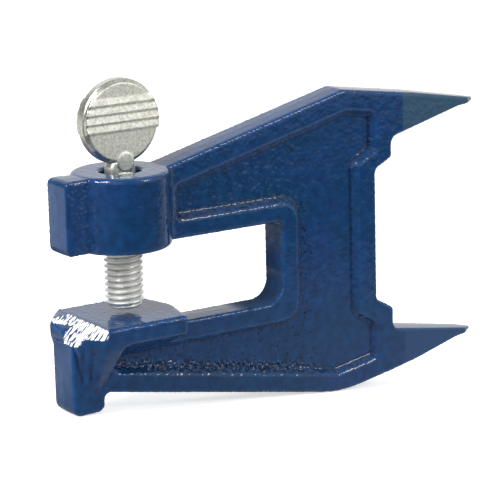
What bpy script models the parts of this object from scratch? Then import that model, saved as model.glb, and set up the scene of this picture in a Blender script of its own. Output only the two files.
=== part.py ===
"""Saw filing vise: a one-piece iron casting with two spikes, and the thumb screw that closes its jaw.

Metres, +Z up. The origin is on the face of the lower jaw, where the screw's axis meets it.
X runs from the jaws to the spikes, Z along the screw, and the casting's mid plane is y = 0.
"""
import math

import bmesh
import bpy
from mathutils import Matrix, Vector

# Web: the flat plate that carries both jaws and both spikes
WEB_THICKNESS = 0.0108
EDGE_RADIUS = 0.0010
CORNER_RADIUS = 0.0020

# Throat, from the screw's axis and the face of the lower jaw
THROAT_DEPTH = 0.0570
JAW_OPENING = 0.0222
PAD_RISE = 0.0049
THROAT_TOP_RADIUS = 0.0018
THROAT_FOOT_RADIUS = 0.0040

# Upper jaw: a round boss with a flat striking nose in front of it
NOSE_REACH = 0.0232
BOSS_HEIGHT = 0.0233
BOSS_RADIUS = 0.0156
BOSS_PROUD = 0.0002
BOSS_EDGE = 0.0013
ARM_START_X = 0.0139
ARM_BLEND = 0.0080

# Back of the casting: two arms, a straight back and a shoulder above each spike's root
TOP_CORNER_X = 0.0827
TOP_CORNER_RADIUS = 0.0035
TOP_RISE_ANGLE = math.radians(14.0)
LOWER_ARM_DEPTH = 0.0253
BOTTOM_CORNER_X = 0.0786
BOTTOM_CORNER_RADIUS = 0.0450
BOTTOM_FALL_ANGLE = math.radians(10.4)
BACK_X = 0.0946
BACK_TOP_Z = 0.0346
BACK_BOTTOM_Z = -0.0100
ROOT_STEP = 0.0068
UPPER_SHOULDER_RISE = 0.0034
LOWER_SHOULDER_DROP = 0.0040
SHOULDER_RADIUS = 0.0016
ROOT_FILLET = 0.0030

# Spikes: wedges that thin from the root, with a short chisel bevel at the tip
UPPER_SPIKE_X = 0.1392
UPPER_ROOT_Z = 0.0452
UPPER_TIP_Z = 0.0527
UPPER_EDGE_ANGLE = math.radians(8.3)
LOWER_SPIKE_X = 0.1378
LOWER_ROOT_Z = -0.0214
LOWER_TIP_Z = -0.0280
LOWER_EDGE_ANGLE = math.radians(11.0)
SPIKE_BEND = 0.0106
SPIKE_NOSE = 0.0080
SPIKE_NOSE_DROP = 0.0008
TIP_HEIGHT = 0.0008
TIP_RADIUS = 0.0003
TIP_THICKNESS = 0.0064
TIP_BEVEL = 0.0040
TIP_EDGE = 0.0010

# Heel: the striking post under the lower jaw
HEEL_WIDTH = 0.0118
HEEL_DEPTH = 0.0290
HEEL_RADIUS = 0.0026

# Pad: the wide face of the lower jaw, and the corbel that carries it, deeper over the heel
PAD_WIDTH = 0.0333
PAD_FRONT = 0.0149
PAD_SHOULDER_X = 0.0158
PAD_BACK = 0.0134
PAD_PEAK = 0.0035
PAD_PEAK_RADIUS = 0.0060
PAD_THICKNESS = 0.0054
PAD_SHOULDER_RADIUS = 0.0042
PAD_NOSE_RADIUS = 0.0034
PAD_BACK_RADIUS = 0.0020
PAD_NOSE_PROUD = 0.0002
PAD_NOSE_WIDTH = 0.0154
PAD_NOSE_DROP = 0.0026
PAD_EDGE = 0.0011
CORBEL_DEPTH = 0.0058
CORBEL_INSET = 0.0025
GUSSET_SHARE = 0.78
GUSSET_X = -0.0108
GUSSET_RUN = 0.0028

# Panels: the sunk field on each side of the web, inside a raised rim
PANEL_DEPTH = 0.0024
PANEL_SLOPE = 0.0021
PANEL_START_X = 0.0166
PANEL_FOOT_X = -0.0105
PANEL_HEAD_X = -0.0066
RIM_TOP = 0.0062
RIM_SPIKE = 0.0061
RIM_ROOT = 0.0063
RIM_UPPER_SHOULDER = 0.0054
RIM_BACK = 0.0068
RIM_LOWER_SHOULDER = 0.0063
RIM_THROAT = 0.0058
LOWER_RIM_SHARE = 0.287
PANEL_RADIUS = 0.0024
PANEL_THROAT_RADIUS = 0.0055

# Screw: 1/2 inch coarse thread, with a round thumb disc forged on its neck
SCREW_RADIUS = 0.00625
SCREW_CLEARANCE = 0.0003
SCREW_TOP_Z = 0.0425
SCREW_LEAD = 0.0010
COUNTERSINK = 0.0010
JAW_GAP = 0.0021
POINT_HEIGHT = 0.0012
POINT_TIP_RADIUS = 0.0048
POINT_RADIUS = 0.0058
JOINT_GAP = 0.0003
NECK_RADIUS = 0.00490
NECK_DOME_Z = 0.0483
DISC_RADIUS = 0.0131
DISC_THICKNESS = 0.0060
DISC_CHAMFER = 0.0009
DISC_Z = 0.06155
RIB_COUNT = 4
RIB_PITCH = 0.0028
RIB_HEIGHT = 0.0007
RIB_RISE = 0.0025
RIB_MARGIN = 0.0012

# Modelling
ARC_STEP = math.radians(15.0)
ARC_SAG = 0.00004
CORNER_SHARE = 0.45
ROUND_STEPS = 48
DOME_STEPS = 6
CREASE_ANGLE = math.radians(30.0)
FLAT_ANGLE = math.radians(1.0)
OVERRUN = 0.0020
WELD = 0.00001

HALF_WEB = WEB_THICKNESS / 2
BOSS_TOP = JAW_OPENING + BOSS_HEIGHT
ROOT_X = BACK_X + ROOT_STEP
TOP_CORNER_Z = BOSS_TOP + (TOP_CORNER_X - ARM_START_X) * math.tan(TOP_RISE_ANGLE)
BOTTOM_CORNER_Z = -LOWER_ARM_DEPTH - BOTTOM_CORNER_X * math.tan(BOTTOM_FALL_ANGLE)
HEEL_BACK_X = HEEL_WIDTH - NOSE_REACH
RIM_LOWER_ARM = LOWER_RIM_SHARE * (LOWER_ARM_DEPTH - PAD_RISE)


def clear_scene():
    for thing in list(bpy.data.objects):
        bpy.data.objects.remove(thing, do_unlink=True)


def make_collection(name):
    group = bpy.data.collections.new(name)
    bpy.context.scene.collection.children.link(group)
    return group


def make_material(name, colour, metallic, roughness):
    material = bpy.data.materials.new(name)
    material.use_nodes = True
    shader = material.node_tree.nodes["Principled BSDF"]
    shader.inputs["Base Color"].default_value = (*colour, 1)
    shader.inputs["Metallic"].default_value = metallic
    shader.inputs["Roughness"].default_value = roughness
    return material


def link_mesh(name, bm, group, material=None):
    """Closes a bmesh into a named object with its faces pointing out."""
    bmesh.ops.recalc_face_normals(bm, faces=bm.faces)
    mesh = bpy.data.meshes.new(name)
    bm.to_mesh(mesh)
    bm.free()
    thing = bpy.data.objects.new(name, mesh)
    group.objects.link(thing)
    if material:
        mesh.materials.append(material)
    return thing


def as_cutter(thing):
    thing.display_type = "WIRE"
    thing.hide_render = True
    return thing


def combine(thing, tool, operation):
    step = thing.modifiers.new(tool.name, "BOOLEAN")
    step.operation = operation
    step.object = tool


def meet(side_a, side_b):
    """Where two sides cross; a side is two points and the distance it is moved to its left."""
    moved = []
    for start, end, inset in (side_a, side_b):
        start, end = Vector(start), Vector(end)
        along = (end - start).normalized()
        moved.append((start + Vector((-along.y, along.x)) * inset, along))
    (start_a, along_a), (start_b, along_b) = moved
    cross = along_a.x * along_b.y - along_a.y * along_b.x
    reach = (start_b - start_a).x * along_b.y - (start_b - start_a).y * along_b.x
    return start_a + along_a * (reach / cross)


def arc_steps(radius, sweep):
    """How many chords an arc needs so that none turns or sags too far."""
    step = min(ARC_STEP, 2 * math.acos(max(0, 1 - ARC_SAG / radius)))
    return math.ceil(abs(sweep) / step)


def rounded(corners):
    """Points of a closed outline whose corners, each (x, y, radius), are turned into arcs."""
    points = []
    for i, (x, y, radius) in enumerate(corners):
        corner = Vector((x, y))
        if not radius:
            points.append(corner)
            continue
        before = Vector(corners[i - 1][:2]) - corner
        after = Vector(corners[(i + 1) % len(corners)][:2]) - corner
        reach = CORNER_SHARE * min(before.length, after.length)
        before.normalize()
        after.normalize()
        half = math.acos(max(-1, min(1, before.dot(after)))) / 2
        tangent = min(radius / math.tan(half), reach)
        centre = corner + (before + after).normalized() * (tangent / math.cos(half))
        start = corner + before * tangent - centre
        sweep = math.pi - 2 * half
        if before.x * after.y - before.y * after.x > 0:
            sweep = -sweep
        steps = arc_steps(start.length, sweep)
        for k in range(steps + 1):
            points.append(centre + Matrix.Rotation(sweep * k / steps, 2) @ start)
    return points


def slab(points, thickness):
    """A flat outline extruded to a thickness, centred on z = 0, with single faces for its two sides."""
    curve = bpy.data.curves.new("outline", "CURVE")
    curve.dimensions = "2D"
    curve.fill_mode = "BOTH"
    curve.extrude = thickness / 2
    spline = curve.splines.new("POLY")
    spline.points.add(len(points) - 1)
    for place, point in zip(spline.points, points):
        place.co = (*point, 0, 1)
    spline.use_cyclic_u = True
    guide = bpy.data.objects.new("outline", curve)
    bpy.context.scene.collection.objects.link(guide)
    mesh = bpy.data.meshes.new_from_object(guide.evaluated_get(bpy.context.evaluated_depsgraph_get()))
    bm = bmesh.new()
    bm.from_mesh(mesh)
    bmesh.ops.remove_doubles(bm, verts=bm.verts, dist=WELD)
    bmesh.ops.dissolve_limit(bm, angle_limit=FLAT_ANGLE, verts=bm.verts, edges=bm.edges)
    bpy.data.objects.remove(guide, do_unlink=True)
    bpy.data.curves.remove(curve)
    bpy.data.meshes.remove(mesh)
    return bm


def stand_up(bm):
    """Turns an outline drawn in X and Y so that it stands in X and Z."""
    bmesh.ops.rotate(bm, verts=bm.verts, matrix=Matrix.Rotation(math.radians(90), 3, "X"))


def round_edges(bm, edges, radius):
    bmesh.ops.bevel(bm, geom=edges, offset=radius, segments=2, profile=0.5,
                    affect="EDGES", clamp_overlap=True)


def turned(name, profile, group, material=None):
    """A turned shape; its profile of (radius, z) runs down the outer side from the axis to the axis."""
    bm = bmesh.new()
    verts = [bm.verts.new((radius, 0, z)) for radius, z in profile]
    for upper, lower in zip(verts, verts[1:]):
        bm.edges.new((upper, lower))
    mesh = bpy.data.meshes.new(name)
    bm.to_mesh(mesh)
    bm.free()
    thing = bpy.data.objects.new(name, mesh)
    group.objects.link(thing)
    if material:
        mesh.materials.append(material)
    spin = thing.modifiers.new("turn", "SCREW")
    spin.steps = ROUND_STEPS
    spin.render_steps = ROUND_STEPS
    spin.use_merge_vertices = True
    spin.merge_threshold = WELD
    return thing


def web_corners():
    """The casting's side outline, clockwise from the nose's top."""
    bend = ROOT_X + SPIKE_BEND
    upper_bend = TOP_CORNER_Z - (bend - TOP_CORNER_X) * math.tan(UPPER_EDGE_ANGLE)
    lower_bend = BOTTOM_CORNER_Z + (bend - BOTTOM_CORNER_X) * math.tan(LOWER_EDGE_ANGLE)
    notch = -LOWER_ARM_DEPTH - HEEL_BACK_X * math.tan(BOTTOM_FALL_ANGLE)
    return [
        (-NOSE_REACH, BOSS_TOP, CORNER_RADIUS),
        (ARM_START_X, BOSS_TOP, ARM_BLEND),
        (TOP_CORNER_X, TOP_CORNER_Z, TOP_CORNER_RADIUS),
        (bend, upper_bend, 0),
        (UPPER_SPIKE_X, UPPER_TIP_Z + TIP_HEIGHT / 2, TIP_RADIUS),
        (UPPER_SPIKE_X, UPPER_TIP_Z - TIP_HEIGHT / 2, TIP_RADIUS),
        (UPPER_SPIKE_X - SPIKE_NOSE, UPPER_TIP_Z - SPIKE_NOSE_DROP, 0),
        (ROOT_X, UPPER_ROOT_Z, ROOT_FILLET),
        (ROOT_X, BACK_TOP_Z + UPPER_SHOULDER_RISE, SHOULDER_RADIUS),
        (BACK_X, BACK_TOP_Z, ROOT_FILLET),
        (BACK_X, BACK_BOTTOM_Z, SHOULDER_RADIUS),
        (ROOT_X, BACK_BOTTOM_Z - LOWER_SHOULDER_DROP, SHOULDER_RADIUS),
        (ROOT_X, LOWER_ROOT_Z, ROOT_FILLET),
        (LOWER_SPIKE_X, LOWER_TIP_Z + TIP_HEIGHT / 2, TIP_RADIUS),
        (LOWER_SPIKE_X, LOWER_TIP_Z - TIP_HEIGHT / 2, TIP_RADIUS),
        (LOWER_SPIKE_X - SPIKE_NOSE, LOWER_TIP_Z - SPIKE_NOSE_DROP, 0),
        (bend, lower_bend, 0),
        (BOTTOM_CORNER_X, BOTTOM_CORNER_Z, BOTTOM_CORNER_RADIUS),
        (HEEL_BACK_X, notch, CORNER_RADIUS),
        (HEEL_BACK_X, -HEEL_DEPTH, HEEL_RADIUS),
        (-NOSE_REACH, -HEEL_DEPTH, HEEL_RADIUS),
        (-NOSE_REACH, -PAD_RISE, CORNER_RADIUS),
        (THROAT_DEPTH, -PAD_RISE, THROAT_FOOT_RADIUS),
        (THROAT_DEPTH, JAW_OPENING, THROAT_TOP_RADIUS),
        (-NOSE_REACH, JAW_OPENING, CORNER_RADIUS),
    ]


def web():
    """The flat casting with its spikes, its outline edges rounded up to the spikes' roots."""
    bm = slab(rounded(web_corners()), WEB_THICKNESS)
    rims = [edge for edge in bm.edges
            if edge.verts[0].co.z * edge.verts[1].co.z > 0
            and max(vert.co.x for vert in edge.verts) < ROOT_X + ROOT_FILLET]
    rims = [edge for edge in rims if abs(edge.verts[0].co.z - edge.verts[1].co.z) < WELD]
    round_edges(bm, rims, EDGE_RADIUS)
    stand_up(bm)
    return bm


def boss(group):
    """The round boss that the screw passes through, a little proud of the arm."""
    bm = bmesh.new()
    height = BOSS_HEIGHT + 2 * BOSS_PROUD
    bmesh.ops.create_cone(bm, cap_ends=True, segments=ROUND_STEPS, radius1=BOSS_RADIUS,
                          radius2=BOSS_RADIUS, depth=height)
    rims = [edge for edge in bm.edges if edge.verts[0].co.z * edge.verts[1].co.z > 0]
    round_edges(bm, rims, BOSS_EDGE)
    bmesh.ops.translate(bm, verts=bm.verts, vec=(0, 0, JAW_OPENING + BOSS_HEIGHT / 2))
    return as_cutter(link_mesh("boss", bm, group))


def crease(bm, x):
    """Splits every face that crosses a place along X."""
    everything = bm.verts[:] + bm.edges[:] + bm.faces[:]
    bmesh.ops.bisect_plane(bm, geom=everything, dist=WELD, plane_co=(x, 0, 0), plane_no=(1, 0, 0))


def slope_nose(bm, nose):
    """Creases the pad's top where the work ends and leans it down to the nose."""
    crease(bm, -PAD_FRONT)
    fall = PAD_NOSE_DROP / (nose - PAD_FRONT)
    for vert in bm.verts:
        past = -PAD_FRONT - vert.co.x
        if past > 0 and vert.co.z > -PAD_EDGE - WELD:
            vert.co.z -= past * fall


def add_corbel(bm, length):
    """Draws the pad's underside in to the web, and further down over the heel, as its gusset."""
    crease(bm, GUSSET_X)
    crease(bm, GUSSET_X + GUSSET_RUN)
    under = [face for face in bm.faces if face.calc_center_median().z < -PAD_THICKNESS + WELD]
    corbel = bmesh.ops.extrude_face_region(bm, geom=under)
    bmesh.ops.delete(bm, geom=under, context="FACES_ONLY")
    verts = [item for item in corbel["geom"] if isinstance(item, bmesh.types.BMVert)]
    gusset = [vert for vert in verts if vert.co.x < GUSSET_X + WELD]
    gusset_depth = GUSSET_SHARE * (LOWER_ARM_DEPTH - PAD_THICKNESS)
    narrow = (HALF_WEB - EDGE_RADIUS) / (PAD_WIDTH / 2)
    bmesh.ops.scale(bm, verts=verts, vec=(1 - CORBEL_INSET / length, narrow, 1))
    bmesh.ops.translate(bm, verts=verts, vec=(0, 0, -CORBEL_DEPTH))
    bmesh.ops.translate(bm, verts=gusset, vec=(0, 0, CORBEL_DEPTH - gusset_depth))


def pad(group):
    """The lower jaw's wide pad, carried on the web by a tapering corbel."""
    half = PAD_WIDTH / 2
    nose = NOSE_REACH + PAD_NOSE_PROUD
    side = [
        (-nose, PAD_NOSE_WIDTH / 2, PAD_NOSE_RADIUS),
        (-PAD_SHOULDER_X, half, PAD_SHOULDER_RADIUS),
        (PAD_BACK, half, PAD_BACK_RADIUS),
    ]
    peak = [(PAD_BACK + PAD_PEAK, 0, PAD_PEAK_RADIUS)]
    plan = side + peak + [(x, -y, radius) for x, y, radius in reversed(side)]
    bm = slab(rounded(plan), PAD_THICKNESS)
    bmesh.ops.translate(bm, verts=bm.verts, vec=(0, 0, -PAD_THICKNESS / 2))
    rims = [edge for edge in bm.edges if min(vert.co.z for vert in edge.verts) > -WELD]
    round_edges(bm, rims, PAD_EDGE)
    add_corbel(bm, PAD_BACK + PAD_PEAK + nose)
    slope_nose(bm, nose)
    return as_cutter(link_mesh("pad", bm, group))


def spike_taper(name, tip, low, high, group):
    """A wedge beside one spike: taking it away thins the spike from its root to its chisel tip."""
    points = [
        (ROOT_X, HALF_WEB),
        (tip - TIP_BEVEL, TIP_THICKNESS / 2),
        (tip, TIP_EDGE / 2),
        (tip + OVERRUN, TIP_EDGE / 2),
        (tip + OVERRUN, HALF_WEB + OVERRUN),
        (ROOT_X, HALF_WEB + OVERRUN),
    ]
    bm = slab(points, high - low)
    bmesh.ops.translate(bm, verts=bm.verts, vec=(0, 0, (low + high) / 2))
    thing = as_cutter(link_mesh(name, bm, group))
    mirror_sides(thing)
    return thing


def mirror_sides(thing):
    """Repeats a tool on the other side of the web."""
    mirror = thing.modifiers.new("other side", "MIRROR")
    mirror.use_axis = (False, True, False)
    mirror.merge_threshold = WELD


def panel_corners():
    """The sunk panel's outline: the casting's own sides, each moved in by its rim."""
    upper_slope = math.tan(UPPER_EDGE_ANGLE)
    lower_slope = math.tan(LOWER_EDGE_ANGLE)
    top = (TOP_CORNER_X, TOP_CORNER_Z)
    bottom = (BOTTOM_CORNER_X, BOTTOM_CORNER_Z)
    sides = [
        ((ARM_START_X, BOSS_TOP), top, -RIM_TOP),
        (top, (ROOT_X, TOP_CORNER_Z - (ROOT_X - TOP_CORNER_X) * upper_slope), -RIM_SPIKE),
        ((ROOT_X, TOP_CORNER_Z), (ROOT_X, BACK_TOP_Z), -RIM_ROOT),
        ((ROOT_X, BACK_TOP_Z + UPPER_SHOULDER_RISE), (BACK_X, BACK_TOP_Z), -RIM_UPPER_SHOULDER),
        ((BACK_X, BACK_TOP_Z), (BACK_X, BACK_BOTTOM_Z), -RIM_BACK),
        ((BACK_X, BACK_BOTTOM_Z), (ROOT_X, BACK_BOTTOM_Z - LOWER_SHOULDER_DROP), -RIM_LOWER_SHOULDER),
        ((ROOT_X, BACK_BOTTOM_Z), (ROOT_X, BOTTOM_CORNER_Z), -RIM_ROOT),
        ((ROOT_X, BOTTOM_CORNER_Z + (ROOT_X - BOTTOM_CORNER_X) * lower_slope), bottom, -RIM_LOWER_ARM),
        (bottom, (0, -LOWER_ARM_DEPTH), -RIM_LOWER_ARM),
        ((PANEL_FOOT_X, -LOWER_ARM_DEPTH), (PANEL_HEAD_X, -PAD_RISE - RIM_LOWER_ARM), 0),
        ((0, -PAD_RISE), (THROAT_DEPTH, -PAD_RISE), -RIM_LOWER_ARM),
        ((THROAT_DEPTH, -PAD_RISE), (THROAT_DEPTH, JAW_OPENING), -RIM_THROAT),
        ((THROAT_DEPTH, JAW_OPENING), (0, JAW_OPENING), -RIM_THROAT),
        ((PANEL_START_X, JAW_OPENING), (PANEL_START_X, BOSS_TOP), 0),
    ]
    radii = {11: PANEL_THROAT_RADIUS, 12: PANEL_THROAT_RADIUS}
    return [(*meet(sides[i - 1], side), radii.get(i, PANEL_RADIUS)) for i, side in enumerate(sides)]


def panel_cutters(group):
    """The two sunk panels: straight down past the surface, then sloping in to the field."""
    bm = slab(rounded(panel_corners()), OVERRUN)
    stand_up(bm)
    bmesh.ops.translate(bm, verts=bm.verts, vec=(0, HALF_WEB + OVERRUN / 2, 0))
    field = min(bm.faces, key=lambda face: face.calc_center_median().y)
    bmesh.ops.inset_region(bm, faces=[field], thickness=PANEL_SLOPE, depth=PANEL_DEPTH, use_even_offset=True)
    thing = as_cutter(link_mesh("panels", bm, group))
    mirror_sides(thing)
    return thing


def bore(group):
    """The screw's hole through the boss, countersunk at its top."""
    radius = SCREW_RADIUS + SCREW_CLEARANCE
    top = BOSS_TOP + BOSS_PROUD
    profile = [
        (0, top + OVERRUN),
        (radius + COUNTERSINK + OVERRUN, top + OVERRUN),
        (radius, top - COUNTERSINK),
        (radius, JAW_OPENING - BOSS_PROUD - OVERRUN),
        (0, JAW_OPENING - BOSS_PROUD - OVERRUN),
    ]
    return as_cutter(turned("bore", profile, group))


def casting(parts, tools, enamel):
    thing = link_mesh("vise_casting", web(), parts, enamel)
    combine(thing, boss(tools), "UNION")
    combine(thing, pad(tools), "UNION")
    combine(thing, bore(tools), "DIFFERENCE")
    middle = JAW_OPENING / 2
    top = TOP_CORNER_Z + OVERRUN
    bottom = BOTTOM_CORNER_Z - OVERRUN
    combine(thing, spike_taper("upper_taper", UPPER_SPIKE_X, middle, top, tools), "DIFFERENCE")
    combine(thing, spike_taper("lower_taper", LOWER_SPIKE_X, bottom, middle, tools), "DIFFERENCE")
    combine(thing, panel_cutters(tools), "DIFFERENCE")
    return thing


def grip_ribs(group):
    """Ridges across both faces of the thumb disc, cut off inside its rim."""
    middle = DISC_Z + RIB_RISE
    start = middle - RIB_COUNT * RIB_PITCH / 2
    face = DISC_THICKNESS / 2
    ridge = []
    for i in range(RIB_COUNT):
        ridge.append((face - RIB_HEIGHT, start + i * RIB_PITCH))
        ridge.append((face + RIB_HEIGHT, start + (i + 0.5) * RIB_PITCH))
    ridge.append((face - RIB_HEIGHT, start + RIB_COUNT * RIB_PITCH))
    outline = ridge + [(-y, z) for y, z in reversed(ridge)]
    bm = slab(outline, 2 * DISC_RADIUS)
    bmesh.ops.rotate(bm, verts=bm.verts, matrix=Matrix(((0, 0, 1), (1, 0, 0), (0, 1, 0))))
    thing = as_cutter(link_mesh("grip_ribs", bm, group))
    limit = disc_blank("rib_limit", DISC_RADIUS - RIB_MARGIN, DISC_THICKNESS + OVERRUN, group)
    combine(thing, limit, "INTERSECT")
    return thing


def disc_blank(name, radius, thickness, group):
    """A round blank that faces along Y, at the thumb disc's place."""
    bm = bmesh.new()
    bmesh.ops.create_cone(bm, cap_ends=True, segments=ROUND_STEPS, radius1=radius, radius2=radius,
                          depth=thickness)
    stand_up(bm)
    bmesh.ops.translate(bm, verts=bm.verts, vec=(0, 0, DISC_Z))
    return as_cutter(link_mesh(name, bm, group))


def thumb_disc(group):
    """The forged disc with its chamfered rim and its ribs."""
    thing = disc_blank("thumb_disc", DISC_RADIUS, DISC_THICKNESS, group)
    chamfer = thing.modifiers.new("chamfer", "BEVEL")
    chamfer.width = DISC_CHAMFER
    chamfer.segments = 1
    chamfer.limit_method = "ANGLE"
    combine(thing, grip_ribs(group), "UNION")
    return thing


def thumb_screw(parts, tools, zinc):
    """Threaded shank, domed neck and thumb disc, forged in one piece."""
    bottom = JAW_GAP + POINT_HEIGHT + JOINT_GAP
    dome = []
    for i in range(DOME_STEPS + 1):
        turn = math.pi / 2 * i / DOME_STEPS
        dome.append((NECK_RADIUS * math.sin(turn), NECK_DOME_Z + NECK_RADIUS * math.cos(turn)))
    profile = dome + [
        (NECK_RADIUS, SCREW_TOP_Z + SCREW_RADIUS - NECK_RADIUS),
        (SCREW_RADIUS, SCREW_TOP_Z),
        (SCREW_RADIUS, bottom + SCREW_LEAD),
        (POINT_RADIUS, bottom),
        (0, bottom),
    ]
    thing = turned("thumb_screw", profile, parts, zinc)
    combine(thing, thumb_disc(tools), "UNION")
    return thing


def screw_point(parts, zinc):
    """The screw's plain end, which bears on the work and never shows that it turns."""
    profile = [
        (0, JAW_GAP + POINT_HEIGHT),
        (POINT_RADIUS, JAW_GAP + POINT_HEIGHT),
        (POINT_TIP_RADIUS, JAW_GAP),
        (0, JAW_GAP),
    ]
    return turned("screw_point", profile, parts, zinc)


def finish(thing):
    """Settles the modifiers into the mesh and shades it smooth between its creases."""
    cut = thing.evaluated_get(bpy.context.evaluated_depsgraph_get())
    mesh = bpy.data.meshes.new_from_object(cut)
    thing.modifiers.clear()
    thing.data = mesh
    mesh.name = thing.name
    mesh.shade_smooth()
    mesh.set_sharp_from_angle(angle=CREASE_ANGLE)


clear_scene()
PARTS = make_collection("saw_filing_vise")
TOOLS = make_collection("tools_for_shaping")
ENAMEL = make_material("blue_enamel", (0.010, 0.045, 0.170), 0.0, 0.25)
ZINC = make_material("zinc_plating", (0.62, 0.62, 0.56), 1.0, 0.38)
for part in (casting(PARTS, TOOLS, ENAMEL), thumb_screw(PARTS, TOOLS, ZINC), screw_point(PARTS, ZINC)):
    finish(part)
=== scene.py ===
import itertools
import math

import bpy
import numpy as np
from mathutils import Matrix, Vector


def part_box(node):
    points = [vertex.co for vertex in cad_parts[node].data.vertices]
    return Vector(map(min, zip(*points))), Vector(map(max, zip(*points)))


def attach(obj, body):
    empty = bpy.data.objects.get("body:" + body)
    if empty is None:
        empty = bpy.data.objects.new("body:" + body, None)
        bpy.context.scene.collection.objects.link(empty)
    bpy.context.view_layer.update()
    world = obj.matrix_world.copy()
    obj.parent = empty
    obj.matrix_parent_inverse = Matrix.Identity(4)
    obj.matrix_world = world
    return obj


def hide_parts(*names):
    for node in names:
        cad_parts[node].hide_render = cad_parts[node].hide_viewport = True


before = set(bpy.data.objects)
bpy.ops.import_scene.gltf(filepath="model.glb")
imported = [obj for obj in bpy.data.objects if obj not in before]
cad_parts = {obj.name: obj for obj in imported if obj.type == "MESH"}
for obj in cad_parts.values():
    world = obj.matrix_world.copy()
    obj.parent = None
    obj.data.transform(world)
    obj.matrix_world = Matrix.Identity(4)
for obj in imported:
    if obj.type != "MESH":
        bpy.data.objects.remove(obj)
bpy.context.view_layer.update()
scene = bpy.context.scene


# The photographer's camera: a long lens from the left and a little above, so that the
# far side of the vise is hardly smaller than the near side. It was fitted to the plates'
# parallel edges and to the screw's round ends.
LENS = 177.44
SENSOR = 36.0
CAMERA_PLACE = Vector((-0.377044, -0.658538, 0.199450))
CAMERA_RIGHT = Vector((0.836927, -0.546773, -0.024350))
CAMERA_UP = Vector((0.146387, 0.180757, 0.972573))
NEAREST_SEEN = 0.05
FURTHEST_SEEN = 20.0

camera = bpy.data.objects.new("camera", bpy.data.cameras.new("camera"))
scene.collection.objects.link(camera)
camera_back = CAMERA_RIGHT.cross(CAMERA_UP)
camera_turn = Matrix((CAMERA_RIGHT, CAMERA_UP, camera_back)).transposed().to_4x4()
camera.matrix_world = Matrix.Translation(CAMERA_PLACE) @ camera_turn
camera.data.lens = LENS
camera.data.sensor_width = SENSOR
camera.data.clip_start = NEAREST_SEEN
camera.data.clip_end = FURTHEST_SEEN
scene.camera = camera


# The casting: web, jaws, pad, heel and both spikes in one piece of sand-cast grey iron,
# fettled at its edges, then dipped in a thick gloss enamel and stoved. Its web comes
# first, flat on both sides and thinning into the spikes.
CASTING_GRID = 0.0004
WEB_HALF = 0.0054
ROOT_X = 0.1017
BACK_X = 0.0949
THROAT_X = 0.0570
THROAT_Z = -0.0049
JAW_OPENING = 0.0222
BOSS_TOP = 0.0458
ARM_FOOT = (0.0126, BOSS_TOP)
TOP_CORNER = (0.0822, 0.06293)
BOTTOM_CORNER = (0.0795, -0.04000)
UPPER_SHOULDER = ((ROOT_X, 0.0380), (BACK_X, 0.0346))
LOWER_SHOULDER = ((BACK_X, -0.0100), (ROOT_X, -0.0140))
BEND_X = 0.1120
LOWER_BEND = (BEND_X, -0.03392)
UPPER_TIP = (0.1392, 0.0527)
LOWER_TIP = (0.1378, -0.0280)
TIP_HALF = 0.0035
TIP_BEVEL = 0.0040
TIP_EDGE_HALF = 0.0005
NOSE_X = -0.0230
HEEL_X = -0.0114
HEEL_Z = -0.0294
HEEL_END_X = -0.0232
# the nose and the heel are a little thicker than the web (a pair of places says where
# such a change starts and where it is full)
NOSE_PROUD = 0.0004
HEEL_PROUD = 0.0006
PROUD_X = (-0.0129, -0.0204)
# every side with the radius of the corner that it ends in, round the web from the nose
WEB_SIDES = [
    (NOSE_X, BOSS_TOP, 0.0020), (*ARM_FOOT, 0.0080), (*TOP_CORNER, 0.0035),
    (BEND_X, 0.05850, 0.0), (UPPER_TIP[0], 0.0535, 0.0003), (UPPER_TIP[0], 0.0523, 0.0003),
    (0.1312, 0.0516, 0.0), (ROOT_X, 0.0446, 0.0030), (*UPPER_SHOULDER[0], 0.0016),
    (*UPPER_SHOULDER[1], 0.0030), (*LOWER_SHOULDER[0], 0.0016), (*LOWER_SHOULDER[1], 0.0016),
    (ROOT_X, -0.0214, 0.0030), (LOWER_TIP[0], -0.0276, 0.0003), (LOWER_TIP[0], -0.0284, 0.0003),
    (0.1298, -0.0294, 0.0), (*LOWER_BEND, 0.0), (*BOTTOM_CORNER, 0.0450),
    (HEEL_X, -0.02330, 0.0020), (HEEL_X, HEEL_Z, 0.0026), (HEEL_END_X, HEEL_Z, 0.0030),
    (HEEL_END_X, THROAT_Z, 0.0020), (THROAT_X, THROAT_Z, 0.0065), (THROAT_X, JAW_OPENING, 0.0018),
    (NOSE_X, JAW_OPENING, 0.0020),
]
# the outer faces lean by 1.7 degrees, so that the pattern left the sand
DRAFT = 0.03
# its edges are round, but for the spikes and the hammered ends
PAINT_EDGE = 0.0009
SHARP_EDGE = 0.0004
SHARP_END_X = (HEEL_END_X + 0.0035, HEEL_END_X + 0.0015)
# on the round edges the wet enamel drew up into a row of beads
BEAD_HIGH = 0.00004
BEAD_BAND = (-0.0016, -0.0008)
BEAD_LENGTHS = (0.0010, 0.0021)


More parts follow.
